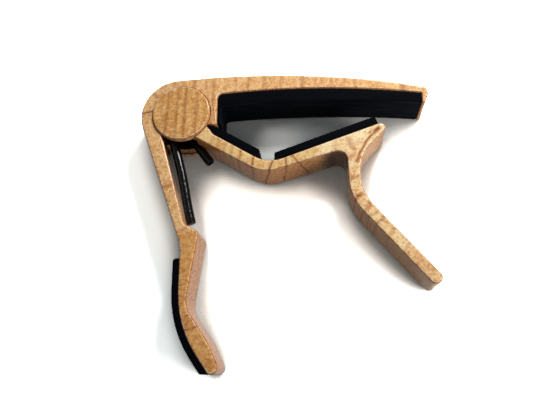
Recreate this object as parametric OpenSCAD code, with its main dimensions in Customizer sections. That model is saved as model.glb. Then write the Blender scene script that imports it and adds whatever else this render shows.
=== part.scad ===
// Spring-loaded guitar capo, lying flat on its side.
// The pivot is the Z axis, and the lower pivot disc rests on Z = 0.
// +X runs along the clamp bar, and the squeeze levers reach towards -Y.

/* [Arms] */
// Width of both arms across the strings
arm_w = 11.6; // [9:0.2:16]
// Radius rounded onto the edges of both arms
edge_r = 0.6; // [0.3:0.1:0.7]

/* [Hub and pivot] */
// Radius of the two pivot discs
disc_r = 8.3; // [7.8:0.1:9.6]
// Thickness of each pivot disc
disc_t = 1.8; // [1.6:0.1:2.4]
// Radius rounded onto the outer edge of each pivot disc
disc_rim_r = 0.45; // [0.2:0.05:0.8]
// How far each pivot disc stands out from the side of the arms
disc_proud = 0.7; // [0.2:0.1:1.2]
// Radial gap between a pivot disc and the seat it sits in
disc_gap = 0.15; // [0.1:0.05:0.4]
// Radius of the pivot pin
pin_r = 2.5; // [2:0.1:3]
// Radial running clearance of the pin in its bores
pin_fit = 0.05; // [0.02:0.01:0.1]
// Depth of the pin in each pivot disc
pin_seat = 1.2; // [0.8:0.1:1.4]
// Wall of the clamp frame outside the disc seat, on the lever side
hub_wall = 3.45; // [2.4:0.05:4.2]
// Wall of the clamp frame outside the disc seat, on the back
back_wall = 2.4; // [1.6:0.1:3.2]
// Radius that joins the back of the clamp bar to the rear lever
hub_corner_r = 11; // [8:0.5:12]
// Thickness of the clamp frame's ear on the pin
frame_ear_t = 2.7; // [2:0.1:3]
// Thickness of the neck arm's ear on the pin
neck_ear_t = 1.4; // [1:0.1:1.6]
// Radius of the neck arm's ear
neck_ear_r = 6.4; // [5:0.1:7]
// Running gap between faces that turn past each other
face_gap = 0.1; // [0.05:0.01:0.15]

/* [Torsion spring] */
// Diameter of the spring wire
wire_d = 1.8; // [1.4:0.1:1.9]
// Radius of the spring coil at the middle of its wire
coil_r = 4.8; // [4.6:0.1:5.2]
// Gap between the spring and what holds it
spring_gap = 0.08; // [0.05:0.01:0.12]
// Gap along the rear lever between the long spring leg's sleeve and the knee
knee_gap = 0.3; // [0.1:0.02:6]
// Length of the short spring leg, from the middle of the hub
short_leg = 14.9; // [12.5:0.1:17]
// Direction of the short spring leg
short_leg_a = -54; // [-58:1:-50]
// Distance from the pin's middle to the line of the short spring leg
short_leg_off = 1.5; // [1:0.1:2]
// Inner radius of the bend that turns the short leg out of the coil
bend_r = 1.9; // [1.5:0.1:2.4]
// Bow of the long spring leg away from the rear lever
leg_bow = 0.5; // [0:0.05:0.6]
// Wall of the rubber sleeves on both spring legs
sleeve_t = 0.34; // [0.2:0.02:0.4]
// Radius rounded onto the outer ends of the rubber sleeves
sleeve_rim_r = 0.3; // [0.1:0.05:0.4]

/* [Clamp bar] */
// Distance from the pivot to the far end of the clamp bar
bar_reach = 69.4; // [60:0.2:80]
// Slope of the bar's back where it leaves the hub
back_rise = 3.1; // [2:0.1:5]
// Slope of the bar's back at its far end
back_fall = 11.7; // [9:0.1:14]
// Radius of the curve along the bar's back
back_r = 250; // [180:5:260]
// Thickness of the bar beside the lip at its far end
tip_t = 2.4; // [2:0.1:4]
// Wall between the disc seat and the string side of the hub
web_t = 1.85; // [1.8:0.05:2.6]
// Height of the pad's seat over the pivot, at its highest point
seat_y = 6.3; // [5.6:0.1:7]
// Distance from the pivot to the highest point of the pad's seat
seat_x = 29; // [24:0.5:36]
// Radius of the arched seat of the fretboard pad
seat_r = 237; // [180:1:320]
// Thickness of the lip that closes the far end of the pad's seat
lip_t = 2; // [1.8:0.1:3]
// Width of the lip at its lower edge
lip_foot = 0.8; // [0.7:0.1:2]
// Depth of the lip below the pad's seat
lip_h = 3.1; // [2:0.1:3.2]
// Reach of the web's tip below the pivot
web_drop = 4.3; // [3.8:0.1:4.3]
// Height of the lip's upright end face
lip_face = 2.4; // [1.8:0.1:3]
// Radius that rounds the lip's outer corners
lip_r = 1.2; // [0.8:0.1:1.3]

/* [Rear lever] */
// Lean of the rear lever away from square to the clamp bar
lever_lean = 19.9; // [16:0.1:22]
// Thickness of the rear lever below the hub
lever_t = 4.5; // [3.6:0.1:5]
// Taper of the rear lever from the hub to the knee
lever_taper = 3.7; // [2:0.1:5]
// Distance from the pivot down to the knee
knee_y = 32.6; // [28:0.2:38]
// Width of the lever across the knee, measured level at its sharp corner
knee_t = 6.3; // [5.5:0.1:7.2]
// Height of the knee's sloping shelf
knee_h = 2.4; // [1.5:0.1:3.5]
// Drop from the knee to the top of the grip's back
grip_drop = 5.9; // [5:0.1:8]
// Distance from the pivot down to the waist of the grip
waist_y = 54.5; // [50:0.5:58]
// Thickness of the grip at its waist
waist_t = 2.1; // [1.8:0.1:3]
// Distance from the pivot down to the belly of the grip
belly_y = 63.4; // [60:0.2:66]
// Level distance from the bend of the grip's back to the corner of its belly
belly_t = 8.3; // [7.8:0.1:9.4]
// Distance from the pivot down to the end of the rear lever
lever_y = 71.2; // [69:0.2:80]
// Width of the grip at its end, measured level
end_t = 3.5; // [3:0.1:5]
// Distance from the pivot down to the bend of the grip's back
grip_bend_y = 59.4; // [58:0.2:62]
// Direction of the grip's back below its bend
grip_a = -54.5; // [-60:0.5:-50]
// Radius of the bend in the grip's back
grip_bend_r = 28; // [15:1:28]

/* [Neck arm] */
// Direction of the seat under the near neck pad
near_a = -31.5; // [-34:0.5:-30]
// Direction of the seat under the far neck pad
far_a = 19.2; // [16:0.2:22]
// Height of the near seat's line where it crosses the pivot
near_y = -1; // [-1.4:0.1:-0.6]
// Distance from the pivot to the valley between the neck pads
valley_x = 24.7; // [22:0.1:28]
// Radius of the valley between the neck pads
valley_r = 9; // [2:0.5:9]
// Thickness of the neck arm under the near pad
near_t = 3.3; // [2.6:0.1:4]
// Thickness of the neck arm under the far pad, measured upright
far_t = 3; // [2.6:0.1:3.6]
// Direction of the neck arm's underside below the far pad
belly_a = 16.3; // [14:0.1:18]
// Distance from the pivot to the tip of the neck arm's nose
nose_x = 57; // [55:0.1:62]
// Radius of the nose's round tip
nose_r = 1.35; // [1.2:0.05:2]
// Direction of the nose's underside
nose_a = 47; // [40:1:52]
// Radius that joins the nose's underside to the trigger's shank
nose_foot_r = 11; // [6:0.5:12]
// Distance from the pivot to the outer side of the trigger's shank
shank_x = 49.75; // [47:0.1:51]
// Thickness of the trigger's shank and lever
shank_t = 3.45; // [3:0.05:4.5]
// Distance from the pivot down to the trigger's bend
trigger_y = 25.3; // [23:0.1:28]
// Direction of the trigger below its bend
trigger_a = -49.8; // [-54:0.2:-46]
// Length of the trigger below its bend
trigger_l = 30.1; // [24:0.1:36]

/* [Pads] */
// Thickness of the fretboard pad
bar_pad_t = 3.85; // [3.2:0.05:4]
// Radius of the moulded fretboard pad's face, which follows the fretboard
bar_face_r = 340; // [280:10:400]
// Thickness of the fretboard pad's tail on the hub's web
tail_t = 1; // [0.8:0.1:1.2]
// Thickness of the two neck pads
neck_pad_t = 2.4; // [1.8:0.1:2.4]
// Thickness of the grip pad on the rear lever
grip_pad_t = 1.75; // [1.2:0.05:2.4]
// Distance from the pivot down to the top of the grip pad
grip_pad_y = 42; // [41:0.2:46]
// Inset of all pads from the sides of the arms
pad_inset = 0.25; // [0:0.05:0.6]
// Radius rounded onto the edges of the pads
pad_edge = 0.3; // [0.1:0.05:0.4]
// Level gap between the near neck pad and the valley's corner
near_gap = 2.3; // [1.2:0.1:3]
// Level gap between the far neck pad and the valley's corner
far_gap = 1.8; // [1.2:0.1:3]
// Level distance from the far neck pad's end to the tip of the nose
nose_gap = 1.9; // [1.6:0.1:5]

/* [Hidden] */
$fn = 96;

// Levels along the pivot, from the resting face up
arm_z0 = disc_proud;
arm_z1 = disc_proud + arm_w;
total_w = arm_w + 2 * disc_proud;
frame_ear_z1 = disc_t + frame_ear_t;
neck_ear_z1 = total_w - disc_t - face_gap;
neck_ear_z0 = neck_ear_z1 - neck_ear_t;
boss_z1 = neck_ear_z0 - face_gap;

// Radii around the pivot, and the share of the edge radius that the discs' seats get
seat_rad = disc_r + disc_gap;
disc_seat_edge = 0.35;
pad_corner_r = 0.4;
ear_short = 0.35;
frame_ear_r = disc_r - ear_short;
ear_root = 0.9;
boss_gap = 0.38;
boss_r = coil_r - wire_d / 2 - boss_gap;

// Spring and sleeves
wire_r = wire_d / 2;
sleeve_r = wire_r + spring_gap + sleeve_t;
long_z = neck_ear_z0 - spring_gap - wire_r;
short_z = frame_ear_z1 + spring_gap + wire_r;
sleeve_lap = 0.1;
sleeve_start = seat_rad - sleeve_lap;
sleeve_fit = 0.04;
wire_short = 0.6;

// Colours
maple = [0.85, 0.68, 0.48];
pale_maple = [0.90, 0.78, 0.58];
rubber = [0.09, 0.09, 0.10];
steel = [0.62, 0.63, 0.66];

// ---- plane geometry ----

function unit(a) = [cos(a), sin(a)];
function angle(v) = atan2(v[1], v[0]);
function cross2(u, v) = u[0] * v[1] - u[1] * v[0];

// Where the line through p at angle a crosses the line through q at angle b
function meet(p, a, q, b) = p + unit(a) * cross2(q - p, unit(b)) / cross2(unit(a), unit(b));

// The point of a line through p at angle a that lies at a given x, or at a given y
function at_x(p, a, x) = [x, p[1] + (x - p[0]) * tan(a)];
function at_y(p, a, y) = [p[0] + (y - p[1]) / tan(a), y];

// A point of a circle about the pivot, and the point where a line through p at angle a leaves it
function polar(r, a) = r * unit(a);
function leaves(p, a, r) = let (d = cross2(unit(a), p)) polar(d, a + 90) + sqrt(r * r - d * d) * unit(a);

// Points of an arc about c from angle a to angle b, in n steps
function arc(c, r, a, b, n) = [for (i = [0:n]) c + r * unit(a + (b - a) * i / n)];

// A corner at c, rounded with radius r between its neighbours p and q
function rounded_corner(p, c, q, r) =
    let (a = angle(c - p), b = angle(q - c),
         turn = (b - a + 540) % 360 - 180,
         side = turn > 0 ? 1 : -1,
         start = c - unit(a) * r * tan(abs(turn) / 2),
         centre = start + r * side * unit(a + 90),
         n = max(2, ceil(abs(turn) / (r > 40 ? 1.6 : r > 6 ? 7 : 15))))
    r == 0 || abs(turn) < 0.01 ? [c] : arc(centre, r, a - side * 90, a - side * 90 + turn, n);

// An outline of [point, edge] entries from corners written as [point, radius, edge].
// The edge is the share of the plate's edge radius that a point gets, and is 1 when left out.
function outline(k) =
    let (n = len(k))
    [for (i = [0:n - 1])
        each [for (p = rounded_corner(k[(i + n - 1) % n][0], k[i][0], k[(i + 1) % n][0], k[i][1]))
            [p, len(k[i]) > 2 ? k[i][2] : 1]]];

// Ready-made points of a curve, written as corners
function curve(points, edge = 1) = [for (p = points) [p, 0, edge]];

// The outline's points moved inwards by d, for an outline that runs clockwise
function inset(k, d) =
    let (n = len(k))
    [for (i = [0:n - 1])
        let (p = k[i][0],
             a = angle(p - k[(i + n - 1) % n][0]),
             b = angle(k[(i + 1) % n][0] - p),
             half = ((b - a + 540) % 360 - 180) / 2)
        p + unit(a + half - 90) * d * k[i][1] / cos(half)];

// Whether the corner a b c of a clockwise outline can be cut off without covering one of the points q
function is_ear(a, b, c, q) =
    cross2(b - a, c - b) < 0
    && len([for (p = q)
        if (cross2(b - a, p - a) <= 0 && cross2(c - b, p - b) <= 0 && cross2(a - c, p - c) <= 0) p]) == 0;

// The first corner of the outline k that can be cut off, counted from corner i
function next_ear(p, k, i) =
    let (n = len(k))
    is_ear(p[k[(i + n - 1) % n]], p[k[i % n]], p[k[(i + 1) % n]], [for (j = [2:n - 2]) p[k[(i + j) % n]]])
        ? i % n : next_ear(p, k, i + 1);

// The clockwise outline k, as indices into the points p, cut into triangles
function triangles(p, k, i = 0) =
    len(k) == 3 ? [k] :
    let (n = len(k), e = next_ear(p, k, i))
    concat([[k[(e + n - 1) % n], k[e], k[(e + 1) % n]]],
           triangles(p, [for (j = [0:n - 1]) if (j != e) k[j]], e + 1));

// A plate from z0 to z1 with a clockwise outline and rounded edges
module soft_plate(k, z0, z1, r, steps = 3) {
    n = len(k);
    low = [for (i = [0:steps]) [r * (1 - sin(i * 90 / steps)), z0 + r * (1 - cos(i * 90 / steps))]];
    high = [for (i = [steps:-1:0]) [low[i][0], z0 + z1 - low[i][1]]];
    rings = concat(low, high);
    cap = triangles(inset(k, r), [for (i = [0:n - 1]) i]);
    last = (len(rings) - 1) * n;
    polyhedron(
        points = [for (q = rings) each [for (p = inset(k, q[0])) [p[0], p[1], q[1]]]],
        faces = concat(
            [for (t = cap) [t[2], t[1], t[0]]],
            [for (q = [0:n:last - n], i = [0:n - 1])
                let (j = (i + 1) % n)
                [q + i, q + j, q + n + j, q + n + i]],
            [for (t = cap) [last + t[0], last + t[1], last + t[2]]]));
}

// ---- clamp frame: bar, hub and rear lever ----

// Corner radii: as tight as the rounded edges allow, small, blunt, and soft
tight_r = edge_r + 0.05;
small_r = 1.3;
blunt_r = 1.6;
soft_r = 6;

// Back of the bar, and the arched seat of its pad from the lip to the web
back_p = [0, seat_rad + back_wall];
seat_c = [seat_x, seat_y - seat_r];
function seat_at(x) = [x, seat_c[1] + sqrt(seat_r * seat_r - (x - seat_x) * (x - seat_x))];
web_x = seat_rad + web_t;
web_r = 1.6;
web_tip = [web_x, -web_drop];
web_a = -25;
pad_end_x = bar_reach - lip_t;
seat_margin = 0.6;
seat_x0 = pad_end_x - pad_corner_r - seat_margin;
seat_x1 = web_x + web_r + seat_margin;
seat_n = 12;
seat_arc = [for (i = [0:seat_n]) seat_at(seat_x0 + (seat_x1 - seat_x0) * i / seat_n)];
// Lip
tip_p = seat_at(pad_end_x) + [0, tip_t];
lip_lean = 0.5;
lip_top = at_x(tip_p, -back_fall, bar_reach - lip_lean);
lip_side = [bar_reach, lip_top[1] - lip_face];
lip_low = seat_at(pad_end_x) - [0, lip_h];
lip_foot_r = 0.3;
lip_foot_edge = 0.45;
// Outer line of the rear lever, and its corner with the bar's back
lever_a = lever_lean - 90;
lever_p = polar(seat_rad + hub_wall, lever_a - 90);
back_corner = meet(back_p, back_rise, tip_p, -back_fall);
hub_corner = meet(lever_p, lever_a, back_p, back_rise);
// Back of the grip, which hangs almost straight down from the lever
grip_p = at_y(lever_p, lever_a, -knee_y - grip_drop);
grip_top_r = 9;
grip_lean = 0.1;
grip_bend = [grip_p[0] + grip_lean, -grip_bend_y];
grip_end = at_y(grip_bend, grip_a, -lever_y);
// Inner line of the rear lever, from the seat's horn by the knee, waist and belly to the grip's end
horn_a = 228;
inner_a = lever_a - lever_taper;
inner_p = at_y(lever_p, lever_a, -seat_rad) + [lever_t / cos(lever_lean), 0];
inner_r = 12;
knee_in_r = 1;
knee_in = at_y(inner_p, inner_a, -knee_y);
knee_out = [at_y(lever_p, lever_a, -knee_y - knee_h)[0] + knee_t, -knee_y - knee_h];
waist = [grip_bend[0] + waist_t, -waist_y];
belly = [grip_bend[0] + belly_t, -belly_y];
belly_r = 16;

frame_outline = outline(concat(
    [[grip_bend, grip_bend_r],
     [grip_p, grip_top_r],
     [hub_corner, hub_corner_r],
     [back_corner, back_r],
     [lip_top, lip_r],
     [lip_side, lip_r],
     [lip_low + [lip_foot, 0], lip_foot_r, lip_foot_edge],
     [lip_low, lip_foot_r, lip_foot_edge],
     [seat_at(pad_end_x), pad_corner_r]],
    curve(seat_arc),
    [[seat_at(web_x), web_r],
     [web_tip, tight_r]],
    curve(arc([0, 0], seat_rad, web_a, horn_a, 36), disc_seat_edge),
    [[inner_p, inner_r],
     [knee_in, knee_in_r],
     [knee_out, small_r],
     [waist, soft_r],
     [belly, belly_r],
     [grip_end + [end_t, 0], blunt_r],
     [grip_end, tight_r]]));

module pin_bore() { translate([0, 0, -1]) cylinder(r = pin_r + pin_fit, h = total_w + 2); }

// The ear closes the lower part of the disc seat and carries the boss under the coil
module frame_ear() {
    translate([0, 0, disc_t]) linear_extrude(frame_ear_t)
        polygon(concat(arc([0, 0], frame_ear_r, web_a - 2, horn_a - 357, 24),
                       arc([0, 0], seat_rad + ear_root, horn_a - 364, web_a - 353, 48)));
    translate([0, 0, disc_t]) cylinder(r = boss_r, h = boss_z1 - disc_t);
}

module clamp_frame() {
    color(maple) {
        soft_plate(frame_outline, arm_z0, arm_z1, edge_r);
        difference() {
            frame_ear();
            pin_bore();
        }
    }
}

// ---- neck arm: neck cradle and trigger ----

near_p = [0, near_y];
far_p = at_x(near_p, near_a, valley_x);
under_p = near_p - [0, near_t / cos(near_a)];
valley_shift = 1.3;
valley_low = at_x(under_p, near_a, valley_x - valley_shift);
valley_low_r = 10;
// The nose's tip is a circle between the far seat's line and the underside
nose_c = at_x(far_p + nose_r * unit(far_a - 90), far_a, nose_x - nose_r);
under_nose = nose_c + nose_r * unit(nose_a - 90);
nose = meet(far_p, far_a, under_nose, nose_a);
shank_bend = [shank_x, -trigger_y];
shank_bend_r = 11;
trigger_end = shank_bend + trigger_l * unit(trigger_a);
trigger_back = trigger_end + shank_t * unit(trigger_a - 90);
inner_bend = meet([shank_x - shank_t, 0], -90, trigger_back, trigger_a);
armpit = at_x(valley_low, belly_a, shank_x - shank_t);
armpit_r = 2.6;
// The top of the arm's root rises towards the disc from a bend in the near seat
root_x = 9.4;
root_a = near_a - 20;
root_bend = at_x(near_p, near_a, root_x);
root_high = leaves(root_bend, root_a, seat_rad);
root_low = leaves(under_p, near_a, seat_rad);

neck_outline = outline(concat(
    curve(arc([0, 0], seat_rad, angle(root_low), angle(root_high), 8), disc_seat_edge),
    [[root_bend, small_r],
     [far_p, valley_r],
     [nose, nose_r],
     [meet(under_nose, nose_a, shank_bend, 90), nose_foot_r],
     [shank_bend, shank_bend_r],
     [trigger_end, blunt_r],
     [trigger_back, blunt_r],
     [inner_bend, shank_bend_r + shank_t],
     [armpit, armpit_r],
     [valley_low, valley_low_r]]));

// The seat that the short leg's sleeve lies in
module leg_channel(r) {
    translate([0, 0, short_z]) rotate([0, 0, short_leg_a]) translate([0, -short_leg_off, 0])
        rotate([0, 90, 0]) cylinder(r = r, h = 2 * short_leg);
}

// The ear turns on the pin between the frame's boss and the front disc
module neck_ear() {
    translate([0, 0, neck_ear_z0]) linear_extrude(neck_ear_t)
        polygon(concat(arc([0, 0], seat_rad + ear_root, angle(root_low) + 4, angle(root_high) - 5, 4),
                       arc([0, 0], neck_ear_r, angle(root_high) + 22, angle(root_low) + 342, 40)));
}

module neck_arm() {
    color(pale_maple) {
        difference() {
            soft_plate(neck_outline, arm_z0, arm_z1, edge_r);
            leg_channel(sleeve_r + spring_gap);
        }
        difference() {
            neck_ear();
            pin_bore();
        }
    }
}

// ---- pivot ----

// A pivot disc with its outer face down on Z = 0 and a blind seat for the pin
module pivot_disc() {
    rim = [disc_r - disc_rim_r, disc_rim_r];
    difference() {
        rotate_extrude()
            polygon(concat([[0, 0]], arc(rim, disc_rim_r, -90, 0, 4), [[disc_r, disc_t], [0, disc_t]]));
        translate([0, 0, disc_t - pin_seat]) cylinder(r = pin_r, h = disc_t);
    }
}

module front_disc() { color(maple) translate([0, 0, total_w]) mirror([0, 0, 1]) pivot_disc(); }
module rear_disc() { color(maple) pivot_disc(); }

module pivot_pin() {
    z0 = disc_t - pin_seat;
    color(steel) translate([0, 0, z0]) cylinder(r = pin_r, h = total_w - 2 * z0);
}

// ---- torsion spring ----

// The long leg bears on the inner wall of the rear lever near the leg's end
long_end = knee_in - (sleeve_r + knee_gap) * unit(inner_a) + (sleeve_r + spring_gap) * unit(inner_a + 90);
long_a = angle(long_end) + asin(coil_r / norm(long_end));
long_root_a = long_a - 90;
// The short leg bends out of the coil through the angle that brings it onto its line
bend_mid_r = coil_r + bend_r;
short_exit_a = short_leg_a + 90 - acos((bend_r - short_leg_off) / bend_mid_r);
bend_turn = short_leg_a + 90 - short_exit_a;
coil_turn = long_root_a - short_exit_a + 720;
short_line = short_leg_off * unit(short_leg_a - 90);

// The long leg at a distance s from its root, as [point, heading]: it bows out and ends on its line
long_root = polar(coil_r, long_root_a);
long_leg = norm(long_end - long_root);
function long_at(s) =
    let (p = long_root + s * unit(long_a)
             + leg_bow / 2 * (1 - cos(360 * s / long_leg)) * unit(long_a + 90))
    [[p[0], p[1], long_z], long_a + atan(leg_bow * PI / long_leg * sin(360 * s / long_leg))];

// The straight part of the short leg at a distance s from the hub's middle
function short_at(s) =
    let (p = short_line + s * unit(short_leg_a))
    [[p[0], p[1], short_z], short_leg_a];

// The wire's path, from the end of the long leg to the end of the short one
coil_n = 40;
leg_n = 10;
wire_path = concat(
    [for (i = [leg_n:-1:0])
        let (k = long_at((long_leg - wire_short) * i / leg_n))
        [k[0], k[1] + 180]],
    [for (i = [1:coil_n])
        let (a = long_root_a - coil_turn * i / coil_n, p = polar(coil_r, a))
        [[p[0], p[1], long_z + (short_z - long_z) * i / coil_n], a - 90]],
    [for (i = [1:6])
        let (a = short_exit_a + 180 + bend_turn * i / 6,
             p = polar(bend_mid_r, short_exit_a) + bend_r * unit(a))
        [[p[0], p[1], short_z], a + 90]],
    [short_at(short_leg - wire_short)]);

// Radius r for each of a path's [point, heading] entries
function thick(path, r) = [for (k = path) [k[0], k[1], r]];

// A round bar swept along a path of [point, heading, radius] entries that stays near level
module sweep(path, sides = 12) {
    n = len(path);
    polyhedron(
        points = [for (k = path) each [for (i = [0:sides - 1])
            let (t = 360 * i / sides, s = k[2] * cos(t) * unit(k[1] - 90))
            k[0] + [s[0], s[1], k[2] * sin(t)]]],
        faces = concat(
            [[for (i = [sides - 1:-1:0]) i]],
            [for (k = [0:n - 2], i = [0:sides - 1])
                let (j = (i + 1) % sides)
                [k * sides + i, k * sides + j, (k + 1) * sides + j, (k + 1) * sides + i]],
            [[for (i = [0:sides - 1]) (n - 1) * sides + i]]));
}

module torsion_spring() { color(steel) sweep(thick(wire_path, wire_r)); }

// A tube whose outside and bore are swept along a leg
sleeve_sides = 24;
module sleeve(outside, bore) {
    difference() {
        sweep(outside, sleeve_sides);
        sweep(thick(bore, wire_r + sleeve_fit), sleeve_sides);
    }
}

// The outer end of a sleeve as [step back from the end, step in from its radius] pairs
sleeve_rim = [for (a = [0:30:90]) sleeve_rim_r * [1 - sin(a), 1 - cos(a)]];

module long_leg_sleeve() {
    start = sqrt(sleeve_start * sleeve_start - coil_r * coil_r);
    end = long_leg + sleeve_r;
    bore_end = long_leg - wire_short + sleeve_lap;
    color(rubber) sleeve(
        concat(thick([for (i = [0:leg_n - 1]) long_at(start + (end - 1 - start) * i / leg_n)], sleeve_r),
               [for (q = sleeve_rim) let (k = long_at(end - q[0])) [k[0], k[1], sleeve_r - q[1]]]),
        [for (i = [0:leg_n]) long_at(start - 1 + (bore_end - start + 1) * i / leg_n)]);
}

module short_leg_sleeve() {
    start = sqrt(sleeve_start * sleeve_start - short_leg_off * short_leg_off);
    color(rubber) sleeve(
        concat(thick([short_at(start)], sleeve_r),
               [for (q = sleeve_rim) let (k = short_at(short_leg - q[0])) [k[0], k[1], sleeve_r - q[1]]]),
        [short_at(start - 1), short_at(short_leg + 1)]);
}

// ---- pads ----

pad_z0 = arm_z0 + pad_inset;
pad_z1 = arm_z1 - pad_inset;

// Face of the fretboard pad, which is hollow to follow the fretboard
function face_at(x) =
    [x, seat_y - bar_pad_t - bar_face_r + sqrt(bar_face_r * bar_face_r - (x - seat_x) * (x - seat_x))];

pad_r = pad_edge + 0.1;
tail_x = web_x + tail_t;
tail_r = 1;
tail_short = 0.3;

fretboard_outline = outline(concat(
    curve([for (i = [seat_n:-1:0]) seat_arc[i]]),
    [[seat_at(pad_end_x), pad_corner_r],
     [face_at(pad_end_x), pad_r]],
    curve([for (i = [1:seat_n]) face_at(pad_end_x + (tail_x + 2 * tail_r - pad_end_x) * i / seat_n)]),
    [[face_at(tail_x), tail_r],
     [web_tip + [tail_t, tail_short], pad_r],
     [web_tip + [0, 3 * tail_short], 0],
     [seat_at(web_x), web_r]]));

module fretboard_pad() { color(rubber) soft_plate(fretboard_outline, pad_z0, pad_z1, pad_edge, 2); }

// The rounded valley between the neck pads, raised by the thickness of a film of glue
glue_t = 0.02;
valley_side = valley_r * tan((far_a - near_a) / 2);
valley_near = far_p - valley_side * unit(near_a);
valley_far = far_p + valley_side * unit(far_a);
valley_c = valley_near + valley_r * unit(near_a + 90);
function valley_at(x) = [x, valley_c[1] - sqrt(pow(valley_r - glue_t, 2) - pow(x - valley_c[0], 2))];

// Outer faces of the neck pads
near_top = near_p + neck_pad_t * unit(near_a + 90);
far_top = far_p + neck_pad_t * unit(far_a + 90);
near_pad_end = valley_x - near_gap;
far_pad_start = valley_x + far_gap;
far_pad_end = nose_x - nose_gap;

// The near pad's root end reaches in under the web's tip, clear of the discs
web_clear = 0.23;
disc_clear = 0.4;
brow_p = web_tip - [0, web_clear];
brow_a = angle(web_tip - polar(seat_rad, web_a));

near_pad_outline = outline([
    [leaves(root_bend, root_a, seat_rad + disc_clear), 0],
    [leaves(brow_p, brow_a, seat_rad + disc_clear), 0],
    [meet(brow_p, brow_a, near_top, near_a), pad_r],
    [at_x(near_top, near_a, near_pad_end), pad_r],
    [valley_at(near_pad_end), 0],
    [valley_near, 0],
    [root_bend, small_r]]);

far_pad_outline = outline([
    [valley_at(far_pad_start), 0],
    [at_x(far_top, far_a, far_pad_start), pad_r],
    [at_x(far_p, far_a, far_pad_end) + neck_pad_t * unit(far_a + 90), pad_r],
    [at_x(far_p, far_a, far_pad_end), 0],
    [valley_far, 0]]);

module near_neck_pad() { color(rubber) soft_plate(near_pad_outline, pad_z0, pad_z1, pad_edge, 2); }
module far_neck_pad() { color(rubber) soft_plate(far_pad_outline, pad_z0, pad_z1, pad_edge, 2); }

// The grip pad follows the back of the grip and ends with it
grip_line_a = angle(grip_p - grip_bend);
grip_off_p = grip_bend - grip_pad_t * unit(grip_line_a - 90);
grip_off_bend = meet(grip_off_p, grip_line_a, grip_end - grip_pad_t * unit(grip_a + 90), grip_a);

grip_pad_top = at_y(grip_bend, grip_line_a, -grip_pad_y);
grip_pad_outline = outline([
    [grip_end - [grip_pad_t / sin(-grip_a), 0], 2 * pad_edge],
    [grip_off_bend, grip_bend_r + grip_pad_t],
    [at_y(grip_off_p, grip_line_a, -grip_pad_y), 3 * pad_edge],
    [grip_pad_top, 0],
    [grip_bend, grip_bend_r],
    [grip_end, 0]]);

module grip_pad() { color(rubber) soft_plate(grip_pad_outline, pad_z0, pad_z1, pad_edge, 2); }

clamp_frame();
neck_arm();
front_disc();
rear_disc();
pivot_pin();
torsion_spring();
long_leg_sleeve();
short_leg_sleeve();
fretboard_pad();
near_neck_pad();
far_neck_pad();
grip_pad();
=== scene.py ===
"""The looks of a spring-loaded guitar capo that lies flat on its side.

Both arms and the pivot discs wear a printed maple film under clear lacquer, the pads are moulded
rubber, and glossy rubber sleeves cover the two legs of the spring. Lengths are in metres, and in
millimetres where a name says so, always in the part's own frame: the pivot is the Z axis, +X runs
along the clamp bar, and the squeeze levers reach towards -Y.
"""

import math

import bmesh
import bpy
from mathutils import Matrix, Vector


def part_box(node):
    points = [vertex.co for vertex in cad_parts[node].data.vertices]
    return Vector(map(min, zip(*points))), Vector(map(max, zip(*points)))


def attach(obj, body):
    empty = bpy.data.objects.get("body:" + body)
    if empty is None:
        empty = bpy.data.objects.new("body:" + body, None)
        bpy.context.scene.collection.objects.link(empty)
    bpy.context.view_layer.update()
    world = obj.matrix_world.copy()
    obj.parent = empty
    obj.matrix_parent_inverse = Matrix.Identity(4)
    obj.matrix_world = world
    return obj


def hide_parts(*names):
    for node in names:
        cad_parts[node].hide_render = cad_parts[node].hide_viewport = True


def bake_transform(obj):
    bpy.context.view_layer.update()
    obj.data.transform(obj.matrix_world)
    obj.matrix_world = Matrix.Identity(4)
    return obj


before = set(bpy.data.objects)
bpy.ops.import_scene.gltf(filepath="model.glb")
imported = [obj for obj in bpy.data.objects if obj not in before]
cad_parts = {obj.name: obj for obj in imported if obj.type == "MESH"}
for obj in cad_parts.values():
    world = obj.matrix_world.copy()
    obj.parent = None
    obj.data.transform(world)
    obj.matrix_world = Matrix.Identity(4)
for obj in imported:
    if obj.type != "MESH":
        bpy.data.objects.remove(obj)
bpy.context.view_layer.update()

MM = 0.001
ARM_LOW, ARM_HIGH = (corner.z for corner in map(Vector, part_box("clamp_frame")))


# ---- finishes ----


def linear(share):
    """The light behind one part of a colour that is written as a screen shows it, 0 to 1."""
    if share > 0.04045:
        return ((share + 0.055) / 1.055) ** 2.4
    return share / 12.92


def rgb(red, green, blue):
    """A colour written as it shows on a screen, 0 to 255, as the shader wants it."""
    return [linear(part / 255) for part in (red, green, blue)] + [1]


class Socket:
    """An output in a finish's nodes. Arithmetic on it adds Math nodes."""

    def __init__(self, finish, link):
        self.finish = finish
        self.link = link

    def math(self, operation, *others):
        return self.finish.add("Math", *others, operation=operation)

    def __add__(self, other):
        return self.math("ADD", self, other)

    def __sub__(self, other):
        return self.math("SUBTRACT", self, other)

    def __mul__(self, other):
        return self.math("MULTIPLY", self, other)

    def __rsub__(self, other):
        return self.math("SUBTRACT", other, self)

    __radd__ = __add__
    __rmul__ = __mul__

    def __abs__(self):
        return self.math("ABSOLUTE", self)

    def most(self, other):
        return self.math("MAXIMUM", self, other)

    def minus(self, vector):
        return self.finish.add("VectorMath", self, vector, operation="SUBTRACT")

    def dot(self, vector):
        return self.finish.add("VectorMath", self, vector, operation="DOT_PRODUCT", output="Value")

    def rise(self, low, high):
        """0 below low and 1 above high, with a soft step between them; low may be the larger one."""
        return self.finish.add("MapRange", self, low, high, 0, 1, interpolation_type="SMOOTHSTEP")


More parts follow.
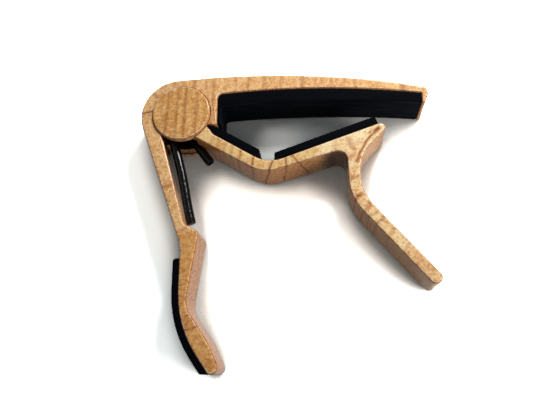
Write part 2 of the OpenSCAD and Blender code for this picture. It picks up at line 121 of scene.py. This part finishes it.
class Finish:
    """A material, or the world, whose nodes are written as expressions."""

    def __init__(self, name, among=bpy.data.materials, shader="Principled BSDF", **surface):
        self.material = among.new(name)
        self.material.use_nodes = True
        self.nodes = self.material.node_tree.nodes
        self.shader = self.nodes[shader]
        for entry, value in surface.items():
            self.give(entry.replace("_", " "), value)

    def put(self, entry, value):
        if isinstance(value, Socket):
            self.material.node_tree.links.new(value.link, entry)
        else:
            entry.default_value = value

    def add(self, kind, *values, output=0, named=None, **settings):
        """A node of a kind with its settings, its sockets in order or by name, and one output."""
        node = self.nodes.new("ShaderNode" + kind)
        for name, value in settings.items():
            setattr(node, name, value)
        for entry, value in [*enumerate(values), *(named or {}).items()]:
            self.put(node.inputs[entry], value)
        return Socket(self, node.outputs[output])

    def mix(self, low, high, share, blend_type="MIX"):
        """The colour low turning into high as share goes from 0 to 1."""
        colours = {"Factor": share, 6: low, 7: high}
        return self.add("Mix", output=2, named=colours, data_type="RGBA", blend_type=blend_type)

    def place(self):
        """Where a point lies in the part's frame, in millimetres."""
        metres = self.add("TexCoord", output="Object")
        return self.add("VectorMath", metres, named={"Scale": 1000}, operation="SCALE")

    def ray(self, kind):
        """1 where the scene is met by this kind of ray, else 0."""
        return self.add("LightPath", output="Is " + kind + " Ray")

    def parts(self, vector):
        """A vector's X, Y and Z."""
        return [self.add("SeparateXYZ", vector, output=axis) for axis in "XYZ"]

    def noise(self, place, scale, detail=3.0, rough=0.5, stretch=(1, 1, 1), turn=0.0):
        """Noise from 0 to 1 with scale features per millimetre, drawn out and turned about Z."""
        along = self.add("Mapping", place, named={"Rotation": (0, 0, turn), "Scale": stretch},
                         vector_type="TEXTURE")
        return self.add("TexNoise", named={"Vector": along, "Scale": scale, "Detail": detail,
                                           "Roughness": rough})

    def give(self, name, value):
        """Feeds one of the surface's own sockets."""
        self.put(self.shader.inputs[name], value)

    def bump(self, height, distance):
        """A relief that is distance metres deep where height is 1."""
        self.give("Normal", self.add("Bump", named={"Distance": distance, "Height": height}))


class Mark:
    """A dark mark of the print: a line, or a dash or knot where reach is given, through x, y.

    It has a soft band and a sharp core, bends by a parabola, and drifts sideways down a wall.
    """

    # Shares of a mark's width: where its band is full, where its core ends, and where that is full
    BAND_FULL = 0.2
    CORE = 0.45
    CORE_FULL = 0.15
    # How far a dash fades out at either end of its reach, in millimetres
    END_FADE = 0.5

    def __init__(self, x, y, angle, soft, sharp=0.0, width=0.8, reach=None, bend=0.0, drift=0.0):
        self.x, self.y, self.angle, self.soft, self.sharp = x, y, angle, soft, sharp
        self.width, self.reach, self.bend, self.drift = width, reach, bend, drift

    def shades(self, place, wobble):
        """How strong the soft band and the sharp core are at each point."""
        turn = math.radians(self.angle)
        offset = place.minus((self.x, self.y, ARM_HIGH / MM))
        slant = self.drift * MM / (ARM_HIGH - ARM_LOW)
        away = offset.dot((math.sin(turn), -math.cos(turn), slant)) + wobble
        along = offset.dot((math.cos(turn), math.sin(turn), 0))
        if self.bend:
            away = away - along * along * self.bend
        band = abs(away).rise(self.width, self.width * self.BAND_FULL) * self.soft
        core = abs(away).rise(self.width * self.CORE, self.width * self.CORE_FULL) * self.sharp
        if self.reach:
            within = abs(along).rise(self.reach + self.END_FADE, self.reach - self.END_FADE)
            return band * within, core * within
        return band, core


class Grain:
    """The print on one stretch of a piece: which way its fibres run, its marks, and where it lies.

    where tells from x and y how much of the print is there; without it the print covers the piece.
    """

    def __init__(self, fibre_angle, marks, where=None, mottle=0.0, tan=0.0, wander=0.5):
        self.fibre_angle, self.marks, self.where = fibre_angle, marks, where
        self.mottle, self.tan, self.wander = mottle, tan, wander


def together(shades):
    """The darkest of several shades at each point."""
    total = shades[0]
    for shade in shades[1:]:
        total = total.most(shade)
    return total


# The marks of each stretch, in millimetres: along the bar from the pivot out, round the hub and
# down the lever, over the disc, then from the neck arm's root to the end of its trigger
BAR = Grain(90, [
    Mark(3.4, 9.6, 90, 0.6, 0.15, 1.0), Mark(6.8, 9.9, 97, 0.3, 0.1), Mark(9.1, 8.6, 89, 0.45, 0.1, 1.0),
    Mark(12.6, 10.6, 91, 0.25), Mark(15.5, 8.1, 88, 0.3, 0.1), Mark(19.1, 8.5, 89, 0.4, 0.2),
    Mark(23.6, 8.8, 87, 0.5, 0.1, 1.1), Mark(28.6, 8.6, 87, 0.35, 0.15), Mark(34.7, 8.3, 86, 0.5, 0.35, 1.2),
    Mark(42.8, 7.6, 86, 0.3, 0.3), Mark(46.3, 7.3, 86, 0.2, 0.1), Mark(49.6, 7.0, 84, 0.35, 0.2),
    Mark(55.5, 6.4, 88, 0.2), Mark(62.5, 5.3, 99, 0.65, 0.2, 1.6, 2.2),
    Mark(9.2, 0.5, -82, 0.3, 0.5, 0.5, 4.5)],
    lambda x, y: y.rise(-7, -5) * x.rise(1, 2.5), 0.1)
HUB = Grain(90, [
    Mark(-10.2, 0.6, 7, 0.5, 0.75, 0.7), Mark(-8.1, 6.4, 150, 0.4, 0.25, 0.8, 2.2),
    Mark(-4.7, 9.7, 48, 0.3, 0.25, 0.9, 1.5), Mark(-2.3, 10.2, 90, 0.25, 0.1)],
    lambda x, y: y.rise(-10, -7) * x.rise(2.5, 1), 0.15)
LEVER = Grain(100, [
    Mark(-2.5, -21.8, 14, 0.5, 0.4, 1.0, 2.6), Mark(-1.6, -24.5, 60, 0.2, 0, 1.0, 2.5),
    Mark(1.4, -34.5, 22, 0.45, 0.3, 0.9, 1.7)],
    lambda x, y: y.rise(-7, -10) * y.rise(-36, -34), 0.2)
GRIP = Grain(0, [
    Mark(3.0, -52.0, -4, 0.5, 0.35, 0.6, 1.7), Mark(5.0, -60.2, 18, 0.55, 0.45, 0.8, 2.0),
    Mark(10.6, -68.5, 8, 0.4, 0.1, 1.2, 1.6), Mark(3.4, -44.5, 3, 0.15, 0, 1.5),
    Mark(8.6, -41.0, 100, 0.25, 0.4, 0.8, drift=-7.0), Mark(8.0, -48.0, 70, 0.25, 0.3, 0.8, drift=6.0)],
    lambda x, y: y.rise(-34, -36), 0.35, 0.75)
DISC = Grain(90, [
    Mark(-5.6, 2.2, 88, 0.25, 0.1, 0.8), Mark(-3.9, 2.2, 87, 0.5, 0.25, 0.9),
    Mark(-1.2, 0.7, 88, 0.5, 0.25, 0.9),
    Mark(1.1, -0.6, 88, 0.6, 0.3, 1.0), Mark(4.4, -0.6, 88, 0.45, 0.15, 1.0),
    Mark(6.9, 0.0, 89, 0.3, 0, 0.8)],
    mottle=0.15, wander=0.35)
ROOT = Grain(84, [
    Mark(9.2, -8.1, 69, 0.4), Mark(10.8, -9.2, 89, 0.45, 0.1), Mark(12.8, -10.7, 78, 0.4, 0.1),
    Mark(14.8, -11.5, 77, 0.45, 0.2), Mark(17.1, -13.3, 75, 0.5, 0.35, drift=-1.0),
    Mark(20.6, -15.4, 82, 0.6, 0.8, 0.8, drift=-0.6), Mark(25.8, -16.3, 75, 0.65, 1.0, 0.8, drift=-2.2),
    Mark(29.8, -16.5, 93, 0.6, 0.85, 0.7, drift=-1.5), Mark(32.8, -15.9, 127, 0.6, 0.7, 0.8, 4.0, drift=2.8)],
    lambda x, y: x.rise(39.5, 37), 0.3, 0.7)
NOSE = Grain(60, [
    Mark(47.4, -11.5, 117, 0.7, 0.1, 1.1, 2.2), Mark(51.5, -11.1, 53, 0.8, 0.8, 0.7, 5.4, 0.031),
    Mark(49.2, -16.0, 58, 0.9, 0.5, 1.1, 1.2), Mark(54.6, -7.5, 35, 1.0, 1.0, 1.1, 1.0),
    Mark(52.8, -8.3, 38, 0.7, 0.4, 0.7, 0.6), Mark(50.0, -11.0, 122, 0.3, 0.0, 0.7, 1.2),
    Mark(43.0, -13.0, 75, 0.3, 0, 1.2, 2.0), Mark(46.9, -15.2, 30, 0.7, 0.1, 1.3, 1.2)],
    lambda x, y: y.rise(-18.5, -17) * x.rise(37, 39.5), 0.45)
TRIGGER = Grain(42, [
    Mark(47.7, -21.3, 12, 0.6, 0.25, 0.9), Mark(48.9, -26.2, 22, 1.0, 0.9, 1.0, 0.9),
    Mark(47.9, -27.5, 60, 0.8, 0.7, 0.8, 0.4), Mark(51.5, -28.4, -30, 1.0, 0.9, 0.8, 0.5),
    Mark(50.3, -30.1, 36, 0.7, 0.4, 0.7), Mark(52.4, -31.4, 34, 0.5, 0.2, 0.7),
    Mark(54.2, -33.0, 44, 0.6, 0.35, 0.8),
    Mark(56.6, -36.5, 60, 0.4, 0.1), Mark(60.5, -40.0, 50, 0.4, 0.15), Mark(64.5, -45.0, 42, 0.35, 0, 8)],
    lambda x, y: y.rise(-17, -18.5) * x.rise(37, 39.5), 1.0, 0.35)


TAN = rgb(232, 212, 168)
PALE_FLECK = rgb(255, 224, 174)
# Pale colour of the painted highlight along edges
EDGE_HIGHLIGHT_PAINT = rgb(255, 242, 216)
DARK_INK = rgb(96, 44, 24)
EDGE_INK = rgb(146, 66, 26)
# Near-black colour of painted shade
SHADE_PAINT = rgb(22, 15, 11)
EAR_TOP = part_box("torsion_spring")[0][2] / MM


def maple(name, pale, deep, walls, ink, grains, wall_shade=None):
    """Printed maple under clear lacquer, from pale wood to deep, with its own colour on upright walls.

    wall_shade tells from x, y and the way a wall faces, along X, how much painted shade darkens that wall.
    """
    wood = Finish(name, Coat_Weight=0.8, Coat_Roughness=0.08, Specular_IOR_Level=0.05)
    place = wood.place()
    x, y, z = wood.parts(place)
    sideways, _, upright = wood.parts(wood.add("NewGeometry", output="Normal"))
    # Broad clouds, and a fine speckle that the whole print shares
    clouds = wood.noise(place, 0.16, 3, 0.55).rise(0.3, 0.7)
    speckle = wood.noise(place, 1.5, 4, 0.8)
    patches = wood.noise(place, 0.6, 5, 0.8)
    # Growth lines wander a little and break up along their length
    sway = wood.noise(place, 0.3, 3, 0.6) - 0.5
    fibres, soft, sharp, mottle, tan = 0.0, 0.0, 0.0, 0.0, 0.0
    for grain in grains:
        here = grain.where(x, y) if grain.where else 1.0
        streaks = wood.noise(place, 0.8, 5, 0.8, (4, 1, 4), math.radians(grain.fibre_angle))
        bands, cores = zip(*[mark.shades(place, sway * grain.wander * 2) for mark in grain.marks])
        fibres = streaks * here + fibres
        soft = together(bands) * here + soft
        sharp = together(cores) * here + sharp
        mottle = here * grain.mottle + mottle
        tan = here * grain.tan + tan
    wall = abs(upright).rise(0.75, 0.25)
    colour = wood.mix(pale, deep, clouds * 0.4 + fibres.rise(0.4, 0.62) * 0.6)
    colour = wood.mix(colour, walls, wall * 0.75)
    colour = wood.mix(colour, ink, patches.rise(0.52, 0.66) * mottle * 0.6)
    colour = wood.mix(colour, ink, speckle.rise(0.51, 0.6) * (mottle * 0.25 + wall * 0.2 + 0.45))
    colour = wood.mix(colour, PALE_FLECK, speckle.rise(0.49, 0.4) * (mottle * 0.2 - wall * 0.15 + 0.5))
    colour = wood.mix(colour, TAN, tan, "MULTIPLY")
    colour = wood.mix(colour, ink, soft * (patches * 0.7 + 0.5) * 0.85)
    colour = wood.mix(colour, DARK_INK, sharp * patches.rise(0.3, 0.55) * 0.8)
    # Along each edge runs a broken dark ink line, and above it, where the rounding starts, a painted
    # highlight: a broken pale line where a lamp would glint
    line = abs(abs(upright) - 0.7).rise(0.17, 0.1) * patches.rise(0.3, 0.5)
    colour = wood.mix(colour, EDGE_INK, line * (mottle * 0.3 + 0.65))
    painted_highlight = abs(abs(upright) - 0.92).rise(0.08, 0.04) * speckle.rise(0.56, 0.48)
    colour = wood.mix(colour, EDGE_HIGHLIGHT_PAINT, painted_highlight * (clouds * 0.8 + 0.1))
    # Painted shade: the ear's top inside the hub, under the front disc, is painted near-black, and so are the
    # walls that wall_shade darkens
    painted_shade = z.rise(EAR_TOP + 1, EAR_TOP) * upright.rise(0.4, 0.6)
    if wall_shade:
        painted_shade = painted_shade.most(wall_shade(x, y, sideways) * wall)
    colour = wood.mix(colour, SHADE_PAINT, painted_shade)
    wood.give("Base Color", colour)
    wood.give("Roughness", painted_shade * 0.2 + speckle * 0.2 + 0.3)
    wood.bump(fibres * 0.3 - sharp * 0.5 + patches + speckle * 0.4, 0.00008)
    return wood.material


def shade_beside_spring(x, y, sideways):
    """Painted shade on the lever's inner wall, darkest where the spring comes out of the hub."""
    return sideways.rise(0.5, 0.8) * y.rise(-32, -14) * y.rise(-5, -8) * x.rise(7, 6) * 0.95


def shade_under_nose(x, y, sideways):
    """Painted shade in the inner corner between the cradle and the trigger."""
    return abs(x - 43.5).rise(6, 1.5) * abs(y + 15.5).rise(4.5, 1.5) * 0.8


frame_maple = maple(
    "maple film",
    pale=rgb(247, 200, 138),
    deep=rgb(218, 158, 94),
    walls=rgb(190, 124, 74),
    ink=rgb(172, 94, 44),
    grains=[BAR, HUB, LEVER, GRIP],
    wall_shade=shade_beside_spring,
)
disc_maple = maple(
    "disc maple film",
    pale=rgb(232, 178, 104),
    deep=rgb(204, 144, 76),
    walls=rgb(226, 164, 108),
    ink=rgb(164, 94, 40),
    grains=[DISC],
)
arm_maple = maple(
    "pale maple film",
    pale=rgb(255, 241, 194),
    deep=rgb(246, 203, 146),
    walls=rgb(224, 154, 98),
    ink=rgb(184, 102, 40),
    grains=[ROOT, NOSE, TRIGGER],
    wall_shade=shade_under_nose,
)


def pad_finish():
    """Matt black rubber with fine pores, faint lengthwise streaks on its walls and a painted highlight, a
    broken paler line along its rounded edges.
    """
    black = Finish("pad rubber", Specular_IOR_Level=0.03)
    place = black.place()
    upright = black.parts(black.add("NewGeometry", output="Normal"))[2]
    pores = black.noise(place, 5.0, 3, 0.6)
    streaks = black.noise(place, 1.1, 3, 0.6, (12, 1, 0.5)).rise(0.5, 0.75)
    on_wall = abs(upright).rise(0.5, 0.2)
    # Painted highlight along the rounded edges of the rubber
    rubber_edge_highlight = abs(abs(upright) - 0.6).rise(0.3, 0.05) * pores.rise(0.35, 0.6)
    colour = black.mix(rgb(3, 5, 9), rgb(16, 21, 28), pores * 0.2 + on_wall * 0.6)
    colour = black.mix(colour, rgb(48, 52, 60), streaks * on_wall * 0.6)
    black.give("Base Color", black.mix(colour, rgb(54, 56, 60), rubber_edge_highlight * 0.5))
    black.give("Roughness", pores * 0.2 + 0.6)
    black.bump(pores + streaks * 0.5, 0.00004)
    return black.material


def sleeve_finish():
    """Glossy black tube, a little uneven, so that a lamp draws a thin broken line along it."""
    gloss = Finish("sleeve rubber", Specular_IOR_Level=0.35)
    place = gloss.place()
    ripples = gloss.noise(place, 0.9, 3, 0.6)
    dust = gloss.noise(place, 4.0, 2, 0.5).rise(0.5, 0.7)
    gloss.give("Base Color", gloss.mix(rgb(2, 4, 7), rgb(10, 12, 16), dust))
    gloss.give("Roughness", ripples * 0.1 + dust * 0.15 + 0.04)
    gloss.bump(ripples, 0.0001)
    return gloss.material


pad_rubber = pad_finish()
sleeve_black = sleeve_finish()


def drawn_steel(name, colour, roughness):
    """Bare steel with fine drawing marks and a trace of oil."""
    steel = Finish(name, Metallic=1.0)
    place = steel.place()
    marks = steel.noise(place, 3.0, 3, 0.6, (1, 1, 6))
    oil = steel.noise(place, 0.4, 2).rise(0.45, 0.7)
    steel.give("Base Color", steel.mix(colour, rgb(96, 90, 84), oil * 0.5))
    steel.give("Roughness", roughness + marks * 0.15)
    steel.bump(marks, 0.00002)
    return steel.material


wire_steel = drawn_steel("spring steel", rgb(70, 64, 60), 0.35)
pin_steel = drawn_steel("pin steel", rgb(186, 186, 190), 0.22)


# ---- pieces ----

# Points this close are one, in metres, and edges bent by more degrees than this stay sharp
DOUBLES = 2e-6
SHARP_EDGE = 38


def finished_copy(name, node, body, material):
    """A CAD node's shape with its doubles merged, its flats whole and its round faces smooth.

    It rides on body; a piece without one rides on no body.
    """
    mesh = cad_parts[node].data.copy()
    mesh.name = name
    if "custom_normal" in mesh.attributes:
        mesh.attributes.remove(mesh.attributes["custom_normal"])
    edit = bmesh.new()
    edit.from_mesh(mesh)
    bmesh.ops.remove_doubles(edit, verts=edit.verts, dist=DOUBLES)
    for face in edit.faces:
        face.smooth = True
    for edge in edit.edges:
        between_two = len(edge.link_faces) == 2
        edge.smooth = between_two and edge.calc_face_angle() < math.radians(SHARP_EDGE)
    edit.to_mesh(mesh)
    edit.free()
    mesh.materials.clear()
    mesh.materials.append(material)
    piece = bpy.data.objects.new(name, mesh)
    bpy.context.collection.objects.link(piece)
    weigh = piece.modifiers.new("flats stay flat", "WEIGHTED_NORMAL")
    weigh.keep_sharp = True
    if body:
        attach(piece, body)
    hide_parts(node)
    return piece


finished_copy("bar_and_rear_lever", "clamp_frame", "clamp_frame", frame_maple)
finished_copy("cradle_and_trigger", "neck_arm", "neck_arm", arm_maple)
finished_copy("upper_disc", "front_disc", "clamp_frame", disc_maple)
finished_copy("lower_disc", "rear_disc", "clamp_frame", disc_maple)
finished_copy("pin", "pivot_pin", "clamp_frame", pin_steel)
finished_copy("fretboard_rubber", "fretboard_pad", "clamp_frame", pad_rubber)
finished_copy("near_cradle_rubber", "near_neck_pad", "neck_arm", pad_rubber)
finished_copy("far_cradle_rubber", "far_neck_pad", "neck_arm", pad_rubber)
finished_copy("grip_rubber", "grip_pad", "clamp_frame", pad_rubber)
finished_copy("long_sleeve", "long_leg_sleeve", "clamp_frame", sleeve_black)
finished_copy("short_sleeve", "short_leg_sleeve", "neck_arm", sleeve_black)


def spring_between_arms():
    """The coil spring as one piece in the part's frame, its place baked into its points; it rides on neither
    arm.
    """
    spring = finished_copy("coil_spring", "torsion_spring", None, wire_steel)
    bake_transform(spring)


spring_between_arms()


# ---- floor, light and camera ----

# Reflectance of the sheet to the camera, in the open and in corners, where it is darker as painted
# shade, in reflections, and for the light it throws back. Only what the camera sees passes 1, and it
# throws no light on the capo.
SEEN_SHEET = 4.4
SEEN_CORNER_SHADE = 0.8
SHEET_TINT = (0.95, 1.0, 0.98)
MIRRORED_SHEET = 0.9
BOUNCE_SHEET = 0.3
# How open a place on the sheet is where the painted corner shade begins and where it ends
CORNER_OPEN = 0.52
WHOLLY_OPEN = 0.82
# Half the width of the sheet
SHEET_HALF = 1.5

# The even light of the room, and the heights between which its mirrored white fades to that light
ROOM_LIGHT = 0.24
MIRROR_TOP = 0.2
MIRROR_WHITE = 0.05

# Place and turn of the camera, in metres and degrees, and its lens in millimetres
CAMERA_AT = (0.03822, -0.07270, 0.15372)
CAMERA_TILT = 17.91
CAMERA_SWING = 5.58
LENS = 37.82
SENSOR = 36


def floor():
    """A wide sheet that is white wherever it is seen in the light, with painted shade making it greyer deep
    between walls.
    """
    sheet = Finish("white sheet")
    # Painted shade: where ambient occlusion finds walls close by, the sheet shows the camera a darker grey
    open_share = sheet.add("AmbientOcclusion", named={"Distance": ARM_HIGH}, samples=16, output="AO")
    seen = open_share.rise(CORNER_OPEN, WHOLLY_OPEN) * (SEEN_SHEET - SEEN_CORNER_SHADE) + SEEN_CORNER_SHADE
    mirrored = sheet.ray("Glossy").most(sheet.ray("Transmission")) * MIRRORED_SHEET
    level = (sheet.ray("Camera") * seen).most(mirrored).most(BOUNCE_SHEET)
    tinted = sheet.add("VectorMath", SHEET_TINT, named={"Scale": level}, operation="SCALE")
    cloth = sheet.add("BsdfDiffuse", tinted, output="BSDF")
    sheet.put(sheet.nodes["Material Output"].inputs["Surface"], cloth)
    mesh = bpy.data.meshes.new("floor")
    edit = bmesh.new()
    bmesh.ops.create_grid(edit, x_segments=1, y_segments=1, size=SHEET_HALF)
    edit.to_mesh(mesh)
    edit.free()
    mesh.materials.append(sheet.material)
    ground = bpy.data.objects.new("floor", mesh)
    bpy.context.collection.objects.link(ground)


def lamp(name, at, aim, size, power, colour=(1, 1, 1), mirrored=True):
    """A round lamp; the lacquer shows its image only where it is mirrored."""
    light = bpy.data.lights.new(name, "AREA")
    light.shape = "DISK"
    light.size = size
    light.energy = power
    light.color = colour
    holder = bpy.data.objects.new(name, light)
    holder.location = at
    holder.rotation_euler = (Vector(aim) - Vector(at)).to_track_quat("-Z", "Y").to_euler()
    holder.visible_glossy = mirrored
    bpy.context.collection.objects.link(holder)


def surroundings():
    """An even soft light, which the camera sees as white, and mirrors too, down by the horizon."""
    room = Finish("pale room", bpy.data.worlds, "Background", Color=(1, 1, 1, 1))
    height = room.parts(room.add("TexCoord", output="Object"))[2]
    mirrored = room.ray("Glossy").most(room.ray("Transmission")) * height.rise(MIRROR_TOP, MIRROR_WHITE)
    room.give("Strength", room.ray("Camera").most(mirrored).most(ROOM_LIGHT))
    bpy.context.scene.world = room.material


def camera():
    """Looks down at the capo from above its jaw, a little from the side of the levers."""
    view = bpy.data.cameras.new("camera")
    view.sensor_width = SENSOR
    view.lens = LENS
    holder = bpy.data.objects.new("camera", view)
    holder.location = CAMERA_AT
    holder.rotation_euler = (math.radians(CAMERA_TILT), math.radians(CAMERA_SWING), 0)
    bpy.context.collection.objects.link(holder)
    bpy.context.scene.camera = holder


floor()
lamp("key", at=(0.12, 0.145, 0.15), aim=(0.03, -0.02, 0), size=0.09, power=0.5)
lamp(
    "side",
    at=(0.20, -0.11, 0.07),
    aim=(0.05, -0.02, 0),
    size=0.12,
    power=0.21,
    colour=(1, 0.93, 0.88),
    mirrored=False,
)
surroundings()
camera()
bpy.context.scene.view_settings.view_transform = "Standard"
